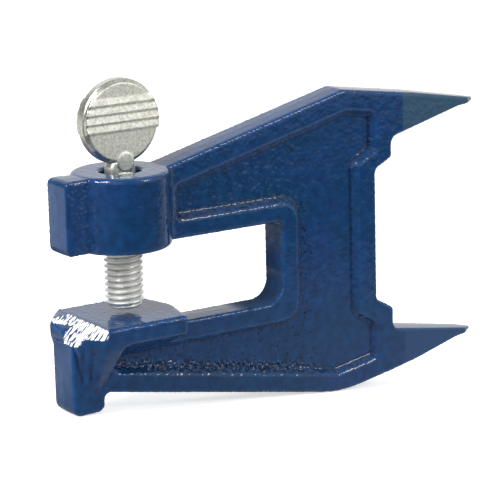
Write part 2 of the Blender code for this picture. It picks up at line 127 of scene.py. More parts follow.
def rounded_outline(corners, chord=0.0004):
    """A closed outline's points, with each corner (x, y, radius) turned into an arc."""
    points = []
    for i, (cx, cy, radius) in enumerate(corners):
        corner = np.array((cx, cy))
        if not radius:
            points.append(corner)
            continue
        before = np.array(corners[i - 1][:2]) - corner
        after = np.array(corners[(i + 1) % len(corners)][:2]) - corner
        reach = 0.45 * min(np.hypot(*before), np.hypot(*after))
        before /= np.hypot(*before)
        after /= np.hypot(*after)
        half = math.acos(np.clip(before @ after, -1, 1)) / 2
        tangent = min(radius / math.tan(half), reach)
        middle = before + after
        centre = corner + middle / np.hypot(*middle) * tangent / math.cos(half)
        spoke = corner + before * tangent - centre
        sweep = math.pi - 2 * half
        if before[0] * after[1] - before[1] * after[0] > 0:
            sweep = -sweep
        steps = max(2, math.ceil(np.hypot(*spoke) * abs(sweep) / chord))
        for turn in np.linspace(0, sweep, steps + 1):
            c, s = math.cos(turn), math.sin(turn)
            points.append(centre + (spoke[0] * c - spoke[1] * s, spoke[0] * s + spoke[1] * c))
    return points


def outline_distance(points, a, b):
    """How far each place (a, b) is from a closed outline, below zero inside it."""
    a, b = np.broadcast_arrays(a, b)
    nearest = np.full(a.shape, np.inf)
    inside = np.zeros(a.shape, bool)
    for (a0, b0), (a1, b1) in zip(points, points[1:] + points[:1]):
        da, db = a1 - a0, b1 - b0
        if da * da + db * db == 0:
            continue
        along = np.clip(((a - a0) * da + (b - b0) * db) / (da * da + db * db), 0, 1)
        nearest = np.minimum(nearest, (a - a0 - along * da) ** 2 + (b - b0 - along * db) ** 2)
        if b0 != b1:
            inside ^= ((b0 > b) != (b1 > b)) & (a < a0 + da * (b - b0) / db)
    return np.where(inside, -1, 1) * np.sqrt(nearest)


def rise(value, start, end):
    """Nought up to the start, one from the end on, and straight between."""
    return np.clip((value - start) / (end - start), 0, 1)


def soft_rise(value, start, end):
    """The same with a soft start and a soft end."""
    share = rise(value, start, end)
    return share * share * (3 - 2 * share)


def edge_of(one, other, radius):
    """Where two faces meet in an outer edge, rounded to a radius."""
    one, other = one + radius, other + radius
    past = np.hypot(np.maximum(one, 0), np.maximum(other, 0))
    return np.minimum(np.maximum(one, other), 0) + past - radius


def join(one, other, fillet):
    """Two bodies grown into one, with a fillet in the inner corner between them."""
    near = np.maximum(fillet - abs(one - other), 0) / fillet
    return np.minimum(one, other) - near * near * fillet / 4


def grid_around(node, step):
    """A grid of places around a CAD node: its lowest corner, and its x, y and z."""
    low, high = (np.array(corner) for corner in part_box(node))
    low = low - 5 * step
    steps = [low[i] + step * np.arange(math.ceil((high[i] - low[i]) / step) + 6) for i in range(3)]
    return low, *(part.astype(np.float32) for part in np.meshgrid(*steps, indexing="ij", sparse=True))


def lumps_of(size, step, shortest, longest, seed):
    """Random lumps on a grid, with lengths between two limits and a spread of one."""
    waves = np.hypot(*np.meshgrid(*(np.fft.fftfreq(n, step) for n in size), indexing="ij"))
    band = (waves < 1 / shortest) & (waves > 1 / longest)
    noise = np.random.default_rng(seed).standard_normal(size)
    lumps = np.fft.ifft2(np.fft.fft2(noise) * band).real
    return lumps / lumps.std()


# the casting is a field of distances from its faces, so that every edge and every inner
# corner gets the round that iron and paint give it
low, x, y, z = grid_around("vise_casting", CASTING_GRID)
side_x, side_z = x[:, 0], z[0]
depth_y = abs(y)

tip_x = np.where(z > JAW_OPENING / 2, UPPER_TIP[0], LOWER_TIP[0])
taper = rise(x, ROOT_X, tip_x - TIP_BEVEL)
chisel = rise(x, tip_x - TIP_BEVEL, tip_x)
half = WEB_HALF - (WEB_HALF - TIP_HALF) * taper - (TIP_HALF - TIP_EDGE_HALF) * chisel
half = half + np.where(z < 0, HEEL_PROUD, NOSE_PROUD) * rise(x, *PROUD_X)
outline = outline_distance(rounded_outline(WEB_SIDES), side_x, side_z)[:, None, :]
side_size = outline.shape[::2]
at_end = rise(x, *SHARP_END_X)
edge = PAINT_EDGE + (SHARP_EDGE - PAINT_EDGE) * np.maximum(taper, at_end)
rim = (outline + DRAFT * depth_y).astype(np.float32)
body = edge_of(rim, (depth_y - half).astype(np.float32), edge.astype(np.float32))
beads = lumps_of(side_size, CASTING_GRID, *BEAD_LENGTHS, 21)[:, None, :]
at_edge = rise(outline, *BEAD_BAND) * rise(depth_y - half, *BEAD_BAND)
body += (BEAD_HIGH * beads * at_edge * (1 - taper)).astype(np.float32)

# The round boss for the screw. Its fillet to the web dies out towards the boss's faces,
# and it is tighter on the nose's side.
BOSS_RADIUS = 0.0156
BOSS_PROUD = 0.0002
BOSS_EDGE = 0.0014
BOSS_FILLET = 0.0022
FILLET_FADE = 0.003
FILLET_FACE_SHARE = 0.08
FILLET_NOSE_SHARE = 0.4
FILLET_AXIS_SHARE = 0.7
FILLET_SPREAD = 0.03

boss_half = (BOSS_TOP - JAW_OPENING) / 2 + BOSS_PROUD
from_middle = abs(z - (BOSS_TOP + JAW_OPENING) / 2)
from_axis = np.hypot(x, y)
boss = edge_of(from_axis - BOSS_RADIUS, from_middle - boss_half, BOSS_EDGE)
fillet = BOSS_FILLET * np.clip((boss_half - from_middle) / FILLET_FADE, FILLET_FACE_SHARE, 1)
body = join(body, boss, fillet * np.clip(FILLET_AXIS_SHARE + x / FILLET_SPREAD, FILLET_NOSE_SHARE, 1))

# The sunk panel of each side, which leaves a rim along the web's outline. Its walls slope
# out of the mould, and its floor keeps the lumps of the sand under the enamel. A rough
# band lies along the lower wall, and small pocks over the lower half.
PANEL_DEPTH = 0.0024
PANEL_SLOPE = 0.0021
ARM_RIM = 0.0065
TOP_RIM = 0.0061
ROOT_RIM = 0.0063
SHOULDER_RIM = 0.0054
BACK_RIM = 0.0071
THROAT_RIM = 0.0058
LOWER_ARM_DEPTH = 0.0204
LOWER_RIM = 0.287 * LOWER_ARM_DEPTH
SLANT_RIM = LOWER_RIM + 0.0003
PANEL_TOP_AIM = (BEND_X, 0.05838)
UNDERSIDE_AIM = (0, -0.0253)
CORBEL_LINE = ((-0.0105, -0.0253), (-0.0066, -0.01075))
PANEL_START_X = 0.0166
PANEL_CORNER = 0.0024
PANEL_THROAT_CORNER = 0.0055
FLOOR_FILLET = 0.0005
RIM_EDGE = 0.0004
# outside the panel its wall turns up steeply, so that it never cuts the rim
OUTSIDE_STEEP = 8
OUTSIDE_FROM = 0.0006
WALL_WAVE = 0.00006
ROUGH_WALL_WAVE = 0.00008
WALL_WAVE_LENGTHS = (0.0013, 0.0060)
ROUGH_BAND_UP = 0.0029
ROUGH_BAND_HALF = (0.0021, 0.0007)
ROUGH_X = (0.085, 0.055)
ROUGH_FLOOR_Z = (0.002, -0.006)
ROUGH_FLOOR_SHARE = 0.25
ROUGH_CORNER = (THROAT_X + 0.004, JAW_OPENING + 0.004)
ROUGH_CORNER_REACH = 0.009
ROUGH_CORNER_SHARE = 0.35
LUMP_HIGH = 0.000028
LUMP_LENGTHS = (0.0014, 0.0050)
LUMPS_BACK_SHARE = 0.35
LUMPS_FRONT_SHARE = 1.2
LUMPS_FRONT_X = (0.072, 0.052)
PIT_DEEP = 0.00022
PIT_LENGTHS = (0.0011, 0.0024)
PIT_LIMITS = (-2.5, 1.0)
PIT_WALL = 0.0007
POCK_DEEP = 0.00005
POCK_LENGTHS = (0.0008, 0.0015)
POCK_PEAKS = (1.5, 2.0)
POCKED_X = (0.078, 0.068)
POCKED_Z = (0.031, 0.025)


def moved_side(start, end, inset):
    """A side moved to its right by an inset, as a point and a direction."""
    start, end = np.array(start), np.array(end)
    along = (end - start) / np.hypot(*(end - start))
    return start + np.array((along[1], -along[0])) * inset, along


def crossing(one, other):
    """The point where two sides cross."""
    (pa, da), (pb, db) = one, other
    reach = ((pb - pa)[0] * db[1] - (pb - pa)[1] * db[0]) / (da[0] * db[1] - da[1] * db[0])
    return pa + da * reach


lower_wall = moved_side(BOTTOM_CORNER, UNDERSIDE_AIM, LOWER_RIM)
throat_wall = moved_side((THROAT_X, THROAT_Z), (THROAT_X, JAW_OPENING), THROAT_RIM)
throat_top = moved_side((THROAT_X, JAW_OPENING), (0, JAW_OPENING), THROAT_RIM)
panel_sides = [
    moved_side(ARM_FOOT, TOP_CORNER, ARM_RIM),
    moved_side(TOP_CORNER, PANEL_TOP_AIM, TOP_RIM),
    moved_side((ROOT_X, JAW_OPENING), (ROOT_X, 0), ROOT_RIM),
    moved_side(*UPPER_SHOULDER, SHOULDER_RIM),
    moved_side(UPPER_SHOULDER[1], LOWER_SHOULDER[0], BACK_RIM),
    moved_side(*LOWER_SHOULDER, ROOT_RIM),
    moved_side((ROOT_X, JAW_OPENING), (ROOT_X, 0), ROOT_RIM),
    moved_side(LOWER_BEND, BOTTOM_CORNER, SLANT_RIM),
    lower_wall,
    moved_side(*CORBEL_LINE, 0),
    moved_side((0, THROAT_Z), (THROAT_X, THROAT_Z), LOWER_RIM),
    throat_wall,
    throat_top,
    moved_side((PANEL_START_X, JAW_OPENING), (PANEL_START_X, BOSS_TOP), 0),
]
panel_corners = []
for before, side in zip(panel_sides[-1:] + panel_sides[:-1], panel_sides):
    at_throat = side is throat_wall or side is throat_top
    panel_corners.append((*crossing(before, side), PANEL_THROAT_CORNER if at_throat else PANEL_CORNER))
into_panel = -outline_distance(rounded_outline(panel_corners), side_x, side_z)

(wall_x, wall_z), (along_x, along_z) = lower_wall
above_wall = (side_z - wall_z) * -along_x + (side_x - wall_x) * along_z
from_corner = np.hypot(side_x - ROUGH_CORNER[0], side_z - ROUGH_CORNER[1])
rough = soft_rise(abs(above_wall - ROUGH_BAND_UP), *ROUGH_BAND_HALF)
rough += ROUGH_FLOOR_SHARE * soft_rise(side_z, *ROUGH_FLOOR_Z)
rough *= soft_rise(side_x, *ROUGH_X)
rough += ROUGH_CORNER_SHARE * soft_rise(from_corner, ROUGH_CORNER_REACH, 0)
waves = lumps_of(side_size, CASTING_GRID, *WALL_WAVE_LENGTHS, 5)
into_panel += (WALL_WAVE + ROUGH_WALL_WAVE * rough) * waves

fall = PANEL_DEPTH / PANEL_SLOPE
wall = WEB_HALF - fall * into_panel + OUTSIDE_STEEP * np.clip(-into_panel - OUTSIDE_FROM, 0, None)
near = np.maximum(FLOOR_FILLET - abs(wall - WEB_HALF + PANEL_DEPTH), 0) / FLOOR_FILLET
sunk = np.maximum(wall, WEB_HALF - PANEL_DEPTH) + near * near * FLOOR_FILLET / 4
in_recess = rise(into_panel, 0, PANEL_SLOPE)
on_wall = rise(into_panel, 0, PIT_WALL)
pocked_half = soft_rise(side_x, *POCKED_X) * soft_rise(side_z, *POCKED_Z)
lump_share = LUMPS_BACK_SHARE + (LUMPS_FRONT_SHARE - LUMPS_BACK_SHARE) * soft_rise(side_x, *LUMPS_FRONT_X)
faces, pocks = [], []
for seed in (3, 8):
    lumps = lumps_of(side_size, CASTING_GRID, *LUMP_LENGTHS, seed) * lump_share
    pits = np.clip(lumps_of(side_size, CASTING_GRID, *PIT_LENGTHS, seed + 1), *PIT_LIMITS)
    dots = soft_rise(lumps_of(side_size, CASTING_GRID, *POCK_LENGTHS, seed + 28), *POCK_PEAKS)
    dots *= pocked_half
    pocks.append(dots * (into_panel > PANEL_SLOPE))
    face = sunk + in_recess * (lumps * LUMP_HIGH - dots * POCK_DEEP)
    faces.append(face + on_wall * rough * pits * PIT_DEEP)
sunk = np.where(y > 0, faces[0][:, None, :], faces[1][:, None, :]).astype(np.float32)
body = edge_of(body, (depth_y - sunk) * math.cos(math.atan(fall)), RIM_EDGE)

# The pad that carries the saw bar: a thick plate with a point towards the throat, on a
# corbel that draws in to the web and runs further down over the heel, as a gusset. Its
# front was hammered and scraped into a slope.
PAD_HALF = 0.01665
PAD_THICK = 0.0054
PAD_EDGE = 0.0011
PAD_WORN_EDGE = 0.0024
WORN_FROM_RUN = 2 / 3
PAD_SIDE = [(-0.0231, 0.0077, 0.0034), (-0.0158, PAD_HALF, 0.0042), (0.0134, PAD_HALF, 0.0020)]
PAD_PEAK = (0.0169, 0.0, 0.0060)
PAD_RANGE_X = (-0.027, 0.022)
PAD_RANGE_Z = (-0.027, 0.004)
PAD_FRONT = -0.0149
NOSE_FALL = 0.0022
NOSE_LEAN = 0.16
NOSE_LEAN_HALF = 0.009
NOSE_RUN = 0.0085
NOSE_UNDERCUT = 0.30
UNDERCUT_Z = -0.0040
CORBEL_FOOT = -0.0112
CORBEL_EDGE = 0.0012
GUSSET_FOOT = -0.0209
GUSSET_X = -0.0108
GUSSET_RUN = 0.0034
FOOT_SHARE = 0.26
PAD_SOFT_SHARE = 0.16
STEEP_LIMITS = (0.7, 4)
PAD_FILLET = 0.0006
GUSSET_FILLET = 0.0042
GUSSET_FILLET_FRONT_X = (HEEL_END_X + 0.0010, HEEL_END_X + 0.0050)
GUSSET_FILLET_BACK_X = (GUSSET_X, GUSSET_X - 0.004)
PAD_FILLET_X = (HEEL_END_X - 0.0004, HEEL_END_X + 0.0012)
LEAST_FILLET = 0.00004
PAD_BEAD_HIGH = 0.00009
PAD_BEAD_BAND = (-0.0018, -0.0010)

plan = rounded_outline(PAD_SIDE + [PAD_PEAK] + [(px, -py, r) for px, py, r in reversed(PAD_SIDE)])
near_x = np.flatnonzero((side_x[:, 0] > PAD_RANGE_X[0]) & (side_x[:, 0] < PAD_RANGE_X[1]))
near_z = np.flatnonzero((z[0, 0] > PAD_RANGE_Z[0]) & (z[0, 0] < PAD_RANGE_Z[1]))
pad_range = np.ix_(near_x, np.arange(y.shape[1]), near_z)
pad_x, pad_z = x[near_x], z[:, :, near_z]
foot = GUSSET_FOOT + (CORBEL_FOOT - GUSSET_FOOT) * soft_rise(pad_x, GUSSET_X, GUSSET_X + GUSSET_RUN)
# how far the corbel is drawn in: nought over the plate's thickness, one at its foot
drawn = (-pad_z - PAD_THICK) / (-foot - PAD_THICK)
bend = np.clip(drawn / PAD_SOFT_SHARE, -1, 1)
drawn = np.where(drawn < PAD_SOFT_SHARE, PAD_SOFT_SHARE * (bend + 1) ** 2 / 4, np.minimum(drawn, 1))
share = 1 - (1 - FOOT_SHARE) * drawn
flank = outline_distance(plan, pad_x, y / share).astype(np.float32)
# the drawing in stretches the distances, so they are scaled back by their own steepness
steep = np.sqrt(sum(part * part for part in np.gradient(flank, CASTING_GRID)))
flank = edge_of(flank / np.clip(steep, *STEEP_LIMITS), foot - pad_z, CORBEL_EDGE)
undercut = np.clip(UNDERCUT_Z - pad_z, 0, None) * NOSE_UNDERCUT
flank = np.maximum(flank, HEEL_END_X + undercut - pad_x)
past_work = np.clip(PAD_FRONT - pad_x, 0, None) / NOSE_RUN
top = pad_z + past_work * (NOSE_FALL - NOSE_LEAN * np.clip(y, -NOSE_LEAN_HALF, NOSE_LEAN_HALF))
worn_edge = PAD_EDGE + (PAD_WORN_EDGE - PAD_EDGE) * soft_rise(past_work, 0, WORN_FROM_RUN) * (y < 0)
pad = edge_of(flank, top, worn_edge)
for axis in range(3):
    pad = (np.roll(pad, 1, axis) + 2 * pad + np.roll(pad, -1, axis)) / 4
at_edge = rise(flank, *PAD_BEAD_BAND) * rise(top, *PAD_BEAD_BAND)
pad += PAD_BEAD_HIGH * beads[near_x][:, :, near_z] * at_edge
at_heel = soft_rise(pad_x, *GUSSET_FILLET_BACK_X) * soft_rise(pad_x, *GUSSET_FILLET_FRONT_X)
fillet = (PAD_FILLET + GUSSET_FILLET * at_heel) * soft_rise(pad_x, *PAD_FILLET_X)
body[pad_range] = join(body[pad_range], pad, fillet + LEAST_FILLET)

# Two long hollows that the mould left down the near side of the gusset, each at its x,
# width and depth. They lean with the gusset's flank.
GUSSET_HOLLOWS = ((-0.0203, 0.0007, 0.0004), (-0.0178, 0.0013, 0.0007))
HOLLOW_LEAN = 0.08
HOLLOW_MIDDLE_Z = -0.012
HOLLOW_FOOT_Z = (-0.0205, -0.0165)
HOLLOW_TOP_Z = (-0.0050, -0.0080)

down_gusset = soft_rise(z, *HOLLOW_FOOT_Z) * soft_rise(z, *HOLLOW_TOP_Z) * (y < 0)
for hollow_x, hollow_wide, hollow_deep in GUSSET_HOLLOWS:
    off_line = x + HOLLOW_LEAN * (z - HOLLOW_MIDDLE_Z) - hollow_x
    body += (hollow_deep * np.exp(-(off_line / hollow_wide) ** 2) * down_gusset).astype(np.float32)

# The coat of enamel itself, thinner on the spikes, with the waviness of a dipped coat on
# the flat sides. It is coarser on the nose, where the coat ran off.
PAINT = 0.0002
SPIKE_PAINT_SHARE = 0.4
WAVE_HIGH = 0.000014
WAVE_LENGTHS = (0.0014, 0.0045)
NOSE_WAVE_SHARE = 4.0
NOSE_WAVE_LENGTHS = (0.0011, 0.0024)
NOSE_WAVE_X = (-0.0110, -0.0130)
WAVES_END_X = (HEEL_END_X + 0.0012, HEEL_END_X + 0.0020)
FLAT_SIDE_Y = (0.0032, 0.0044)

body -= (PAINT * (1 - (1 - SPIKE_PAINT_SHARE) * taper)).astype(np.float32)
near_nose = rise(side_x, *NOSE_WAVE_X) * (side_z > JAW_OPENING)
waves = lumps_of(side_size, CASTING_GRID, *WAVE_LENGTHS, 12) * (1 - near_nose)
waves += NOSE_WAVE_SHARE * lumps_of(side_size, CASTING_GRID, *NOSE_WAVE_LENGTHS, 14) * near_nose
waves *= rise(side_x, *WAVES_END_X)
on_side = rise(depth_y, *FLAT_SIDE_Y) * (1 - taper)
body += (WAVE_HIGH * waves[:, None, :] * on_side).astype(np.float32)

# The bore for the screw, drilled through the boss and broken at its mouth. The inner
# thread is out of sight behind the screw and isn't drawn.
BORE_RADIUS = 0.00655
BORE_MOUTH = 0.0006
BORE_PAST = 0.003

bore = BORE_RADIUS + np.clip(z - (BOSS_TOP + BOSS_PROUD - BORE_MOUTH), 0, None)
body = np.maximum(body, np.minimum(bore - from_axis, z - JAW_OPENING + BORE_PAST))


def skin(field, low, step):
    """Points and quads of the surface where a field on a grid passes from inside to outside."""
    inside = field < 0
    size = np.array(field.shape) - 1
    full = sum(inside[i:i + size[0], j:j + size[1], k:k + size[2]].astype(np.int8)
               for i, j, k in itertools.product((0, 1), repeat=3))
    cells = np.argwhere((full > 0) & (full < 8))
    number = np.full(size, -1, np.int32)
    number[tuple(cells.T)] = np.arange(len(cells))
    total, hits, quads = np.zeros((len(cells), 3)), np.zeros(len(cells)), []
    for axis in range(3):
        across, up = (axis + 1) % 3, (axis + 2) % 3
        for i, j in itertools.product((0, 1), repeat=2):
            start = cells.copy()
            start[:, across] += i
            start[:, up] += j
            end = start.copy()
            end[:, axis] += 1
            a, b = field[tuple(start.T)], field[tuple(end.T)]
            crossed = (a < 0) != (b < 0)
            place = start.astype(float)
            place[crossed, axis] += (a[crossed] / (a[crossed] - b[crossed]))
            total[crossed] += place[crossed]
            hits += crossed
        ahead = np.moveaxis(inside, axis, 0)
        edges = np.argwhere(np.moveaxis(ahead[1:] != ahead[:-1], 0, axis))
        edges = edges[(edges[:, across] > 0) & (edges[:, up] > 0)
                      & (edges[:, across] < size[across]) & (edges[:, up] < size[up])]
        loop = []
        for i, j in ((1, 1), (0, 1), (0, 0), (1, 0)):
            cell = edges.copy()
            cell[:, across] -= i
            cell[:, up] -= j
            loop.append(number[tuple(cell.T)])
        loop = np.stack(loop, 1)
        backward = ~inside[tuple(edges.T)]
        loop[backward] = loop[backward][:, ::-1]
        quads.append(loop)
    return np.array(low) + step * total / hits[:, None], np.concatenate(quads)


def mesh_of(name, points, quads):
    """A smooth-shaded object from points and quads."""
    mesh = bpy.data.meshes.new(name)
    mesh.vertices.add(len(points))
    mesh.vertices.foreach_set("co", points.astype(np.float32).ravel())
    mesh.loops.add(4 * len(quads))
    mesh.loops.foreach_set("vertex_index", quads.astype(np.int32).ravel())
    mesh.polygons.add(len(quads))
    mesh.polygons.foreach_set("loop_start", np.arange(0, 4 * len(quads), 4, dtype=np.int32))
    mesh.update(calc_edges=True)
    mesh.validate()
    mesh.shade_smooth()
    thing = bpy.data.objects.new(name, mesh)
    scene.collection.objects.link(thing)
    return thing


casting = mesh_of("painted_casting", *skin(body, low, CASTING_GRID))
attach(casting, "casting")
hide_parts("vise_casting")


def points_of(thing):
    """The x, y and z of a mesh's points."""
    places = np.empty(3 * len(thing.data.vertices), np.float32)
    thing.data.vertices.foreach_get("co", places)
    return places.reshape(-1, 3).T


def mark(thing, name, values):
    """Keeps a number for each point of a mesh, which a material can read by its name."""
    thing.data.attributes.new(name, "FLOAT", "POINT").data.foreach_set("value", values.astype(np.float32))


def hollows(thing, rounds):
    """How hollow (above zero) or proud a mesh is at each point, per millimetre, evened out."""
    mesh = thing.data
    count = len(mesh.vertices)
    ends = np.empty(2 * len(mesh.edges), np.int32)
    normal = np.empty(3 * count, np.float32)
    mesh.edges.foreach_get("vertices", ends)
    mesh.vertices.foreach_get("normal", normal)
    place, normal = points_of(thing).T, normal.reshape(-1, 3)
    one, other = ends.reshape(-1, 2).T
    along = place[other] - place[one]
    reach = (along ** 2).sum(1)
    hits = np.bincount(one, minlength=count) + np.bincount(other, minlength=count)
    bend = np.bincount(one, 2 * (along * normal[one]).sum(1) / reach, count)
    bend = (bend - np.bincount(other, 2 * (along * normal[other]).sum(1) / reach, count)) / hits
    for _ in range(rounds):
        around = np.bincount(one, bend[other], count) + np.bincount(other, bend[one], count)
        bend = (bend + around / hits) / 2
    return bend / 1000


def linear(colour):
    """A colour written as sRGB hex, as the linear numbers that a shader takes."""
    parts = [int(colour[i:i + 2], 16) / 255 for i in (1, 3, 5)]
    return tuple(c / 12.92 if c <= 0.04045 else ((c + 0.055) / 1.055) ** 2.4 for c in parts) + (1.0,)


def node(material, kind, links=(), numbered=(), **settings):
    """Adds a shader node. Links are (its input, another node, that node's output). Settings
    are its inputs, with _ for a space, or its options, and inputs that share a name go by number."""
    made = material.node_tree.nodes.new(kind)
    for name, value in settings.items():
        if name.replace("_", " ") in made.inputs:
            made.inputs[name.replace("_", " ")].default_value = value
        else:
            setattr(made, name, value)
    for number, value in numbered:
        made.inputs[number].default_value = value
    for name, other, output in links:
        material.node_tree.links.new(other.outputs[output], made.inputs[name])
    return made


# Where the coat differs: scraped off the pad's near corner by hammer and saw, its bare iron
# shown near-white as a painted highlight, rubbed thin on the spikes, darker in hollows and
# pocks as painted shade and lighter on proud edges as painted highlight, darker and more
# violet on the boss as painted shade, and dulled in the throat by the saw bar.
SCRAPE_X = (PAD_FRONT + 0.0002, PAD_FRONT - 0.0008)
SCRAPE_Y = (0.0104, 0.0084)
SCRAPE_TOP_Z = 0.003
SCRAPE_SPLIT_Y = -0.0012
SCRAPE_FOOT_Z = (-0.0020, -0.0043)
SCRAPE_FADE = 0.0012
SCRAPE_TONGUE = 0.0028
SCRAPE_TONGUE_X = (-0.0208, -0.0224)
THIN_X = (0.1058, 0.1070)
NO_POOLS_X = -0.0130
POCKS_REACH = 0.0006
BOSS_TINT_FADE = (BOSS_RADIUS + 0.0012, BOSS_RADIUS + 0.0002)
DULL_FOOT_X = (0.036, 0.048)
DULL_FOOT_Z = (0.0070, 0.0010)
DULL_FOOT_LEAST_Z = -0.0056
DULL_TOP_Z = (0.007, 0.018)
DULL_TOP_SHARE = 0.24
DULL_HALF = 0.0052
HOLLOW_ROUNDS = 5

at_x, at_y, at_z = points_of(casting)
lowest = np.where(at_y > SCRAPE_SPLIT_Y, *SCRAPE_FOOT_Z)
lowest = lowest - SCRAPE_TONGUE * soft_rise(at_x, *SCRAPE_TONGUE_X) * (at_y < SCRAPE_SPLIT_Y)
on_corner = soft_rise(at_x, *SCRAPE_X) * soft_rise(at_y, *SCRAPE_Y) * (at_z < SCRAPE_TOP_Z)
mark(casting, "scraped_and_glinting", on_corner * soft_rise(at_z, lowest, lowest + SCRAPE_FADE))
mark(casting, "thin", soft_rise(at_x, *THIN_X))
mark(casting, "upper", at_z > 0)
on_nose = (at_x < NO_POOLS_X) * (at_z > JAW_OPENING)
# how hollow or proud the paint is, which steers painted shade in creases and a painted highlight on proud
# edges
mark(casting, "hollow", np.where(on_nose, 0, hollows(casting, HOLLOW_ROUNDS)))
# where the pocks lie, which steers painted shade in them
column = np.rint((at_x - low[0]) / CASTING_GRID).astype(int)
row = np.rint((at_z - low[2]) / CASTING_GRID).astype(int)
on_floor = abs(abs(at_y) - WEB_HALF + PANEL_DEPTH) < POCKS_REACH
mark(casting, "pocked", np.where(at_y > 0, pocks[0][column, row], pocks[1][column, row]) * on_floor)
# where the boss is, which steers painted shade on it
on_boss = soft_rise(np.hypot(at_x, at_y), *BOSS_TINT_FADE)
mark(casting, "boss", on_boss * (at_z > JAW_OPENING - 0.001) * (at_z < BOSS_TOP - 0.0005))
dull_foot = soft_rise(at_x, *DULL_FOOT_X) * (at_x < THROAT_X + 0.0005)
dull_foot = dull_foot * soft_rise(at_z, *DULL_FOOT_Z) * (at_z > DULL_FOOT_LEAST_Z)
dull_top = soft_rise(at_z, *DULL_TOP_Z) * (abs(at_x - THROAT_X) < 0.0007) * (at_z < JAW_OPENING)
mark(casting, "dull", (dull_foot + DULL_TOP_SHARE * dull_top) * (abs(at_y) < DULL_HALF))

# Gloss stoving enamel, dipped and baked: a deep blue film with a wet, mirror-like gloss
# that runs dark where it is thick and bright where it is thin. Its blue is also painted
# darker in hollows as painted shade and lighter on proud edges as painted highlight. It
# isn't a metal, its IOR is 1.5 as that of most paint resins, and its roughness 0.09 that
# of a baked gloss coat.
ENAMEL_IOR = 1.5
ENAMEL_ROUGHNESS = 0.09
SCRAPED_ROUGHNESS = 0.45
ENAMEL_DARK = "#0a3359"
ENAMEL_LIGHT = "#113460"
LOWER_SPIKE_BLUE = "#1f3e66"
UPPER_SPIKE_BLUE = "#2c4960"
# painted highlight: near-white for the scraped bare iron, standing for the light glinting on it
SCRAPED_IRON_HIGHLIGHT = "#f6f7f8"
# what multiplies the blue: white leaves it, and the others are painted shade in hollows, in pocks and on the
# boss
WHITE = (1, 1, 1, 1)
CREASE_SHADE = (0.20, 0.38, 0.46, 1)
POCK_SHADE = (0.12, 0.30, 0.34, 1)
BOSS_SHADE = (1.08, 0.88, 0.91, 1)
# the dip's clouds are 22 mm long and the film's streaks 3 mm; the orange peel is really
# about 1 mm long, and is drawn 2.3 mm coarse, so that it shows
CLOUD = 0.022222
FILM = 0.0030303
ORANGE_PEEL = 0.0023256
ORANGE_PEEL_HIGH = 0.0003
# scratches 0.4 mm wide and ten times as long, and the direction that lies across them
SCRATCH = (0.00042, 0.0045, 0.0045)
ACROSS_SCRATCHES = Vector((-0.60, 0.55, 0.58)).normalized()

enamel = bpy.data.materials.new("gloss_stoving_enamel")
enamel.use_nodes = True
enamel_surface = node(enamel, "ShaderNodeTexCoord")
clouds = node(enamel, "ShaderNodeTexNoise", [("Vector", enamel_surface, "Object")],
              Scale=1 / CLOUD, Detail=2.0)
blue = node(enamel, "ShaderNodeValToRGB", [("Fac", clouds, "Fac")])
blue_ramp = blue.color_ramp.elements
blue_ramp[0].position, blue_ramp[0].color = 0.35, linear(ENAMEL_DARK)
blue_ramp[1].position, blue_ramp[1].color = 0.65, linear(ENAMEL_LIGHT)
film = node(enamel, "ShaderNodeTexNoise", [("Vector", enamel_surface, "Object")], Scale=1 / FILM, Detail=3.0)
film_depth = node(enamel, "ShaderNodeMapRange", [("Value", film, "Fac")],
                  From_Min=0.3, From_Max=0.7, To_Min=0.78, To_Max=1.25)
hollow = node(enamel, "ShaderNodeAttribute", attribute_name="hollow")
# painted shade: the blue darkens in hollows and creases
crease_shading = node(enamel, "ShaderNodeMapRange", [("Value", hollow, "Fac")], From_Min=0.10, From_Max=0.36)
crease_shade = node(enamel, "ShaderNodeMix", [("Factor", crease_shading, "Result")], [(6, WHITE), (7, CREASE_SHADE)],
              data_type="RGBA")
pocked = node(enamel, "ShaderNodeAttribute", attribute_name="pocked")
# painted shade: the blue darkens in the pocks
pock_shade = node(enamel, "ShaderNodeMix", [("Factor", pocked, "Fac")], [(6, WHITE), (7, POCK_SHADE)],
              data_type="RGBA")
# painted highlight: the blue lightens on proud edges
proud_edge_highlight = node(enamel, "ShaderNodeMapRange", [("Value", hollow, "Fac")],
                 From_Min=-0.50, From_Max=-0.15, To_Min=1.35, To_Max=1.0)
# painted shade: the boss's blue is made darker and more violet
boss_shade_mask = node(enamel, "ShaderNodeAttribute", attribute_name="boss")
boss_shade_mix = node(enamel, "ShaderNodeMix", [("Factor", boss_shade_mask, "Fac")], [(6, WHITE), (7, BOSS_SHADE)],
              data_type="RGBA")
coat, coat_output = blue, "Color"
for change, output in ((film_depth, "Result"), (pock_shade, 2), (crease_shade, 2), (proud_edge_highlight, "Result"), (boss_shade_mix, 2)):
    coat = node(enamel, "ShaderNodeVectorMath", [(0, coat, coat_output), (1, change, output)],
                operation="MULTIPLY")
    coat_output = "Vector"
thin = node(enamel, "ShaderNodeAttribute", attribute_name="thin")
upper = node(enamel, "ShaderNodeAttribute", attribute_name="upper")
rubbed = node(enamel, "ShaderNodeMix", [("Factor", upper, "Fac")],
              [(6, linear(LOWER_SPIKE_BLUE)), (7, linear(UPPER_SPIKE_BLUE))], data_type="RGBA")
faded = node(enamel, "ShaderNodeMix", [("Factor", thin, "Fac"), (6, coat, "Vector"), (7, rubbed, 2)],
             data_type="RGBA")
along_scratches = ACROSS_SCRATCHES.orthogonal().normalized()
scratch_axes = Matrix((ACROSS_SCRATCHES, along_scratches, ACROSS_SCRATCHES.cross(along_scratches)))
slant = node(enamel, "ShaderNodeMapping", [("Vector", enamel_surface, "Object")], vector_type="TEXTURE",
             Rotation=scratch_axes.transposed().to_euler(), Scale=SCRATCH)
